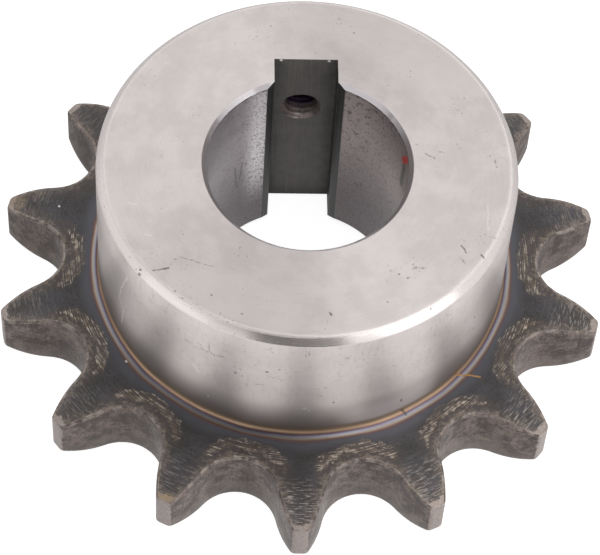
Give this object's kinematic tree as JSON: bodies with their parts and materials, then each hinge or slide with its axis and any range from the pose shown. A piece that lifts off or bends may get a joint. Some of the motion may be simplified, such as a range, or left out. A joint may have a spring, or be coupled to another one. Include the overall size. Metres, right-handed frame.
{
  "type": "chain sprocket",
  "caption": "Steel roller-chain sprocket with a hub on one side, a keyed bore and a radial set-screw hole.",
  "frame": {"origin": "centre of the bore at the toothed disc's back face", "axes": "+Z along the bore from the toothed disc to the hub's face; +Y from the bore's axis to the keyway; +X to the right when the hub faces the viewer with the keyway up"},
  "size_m": [0.0766, 0.078, 0.03],
  "materials": {
    "steel": "turned bare hub, dark oxide with heat tint on the induction-hardened teeth"
  },
  "bodies": {
    "root": {"sprocket": "steel"}
  },
  "joints": []
}
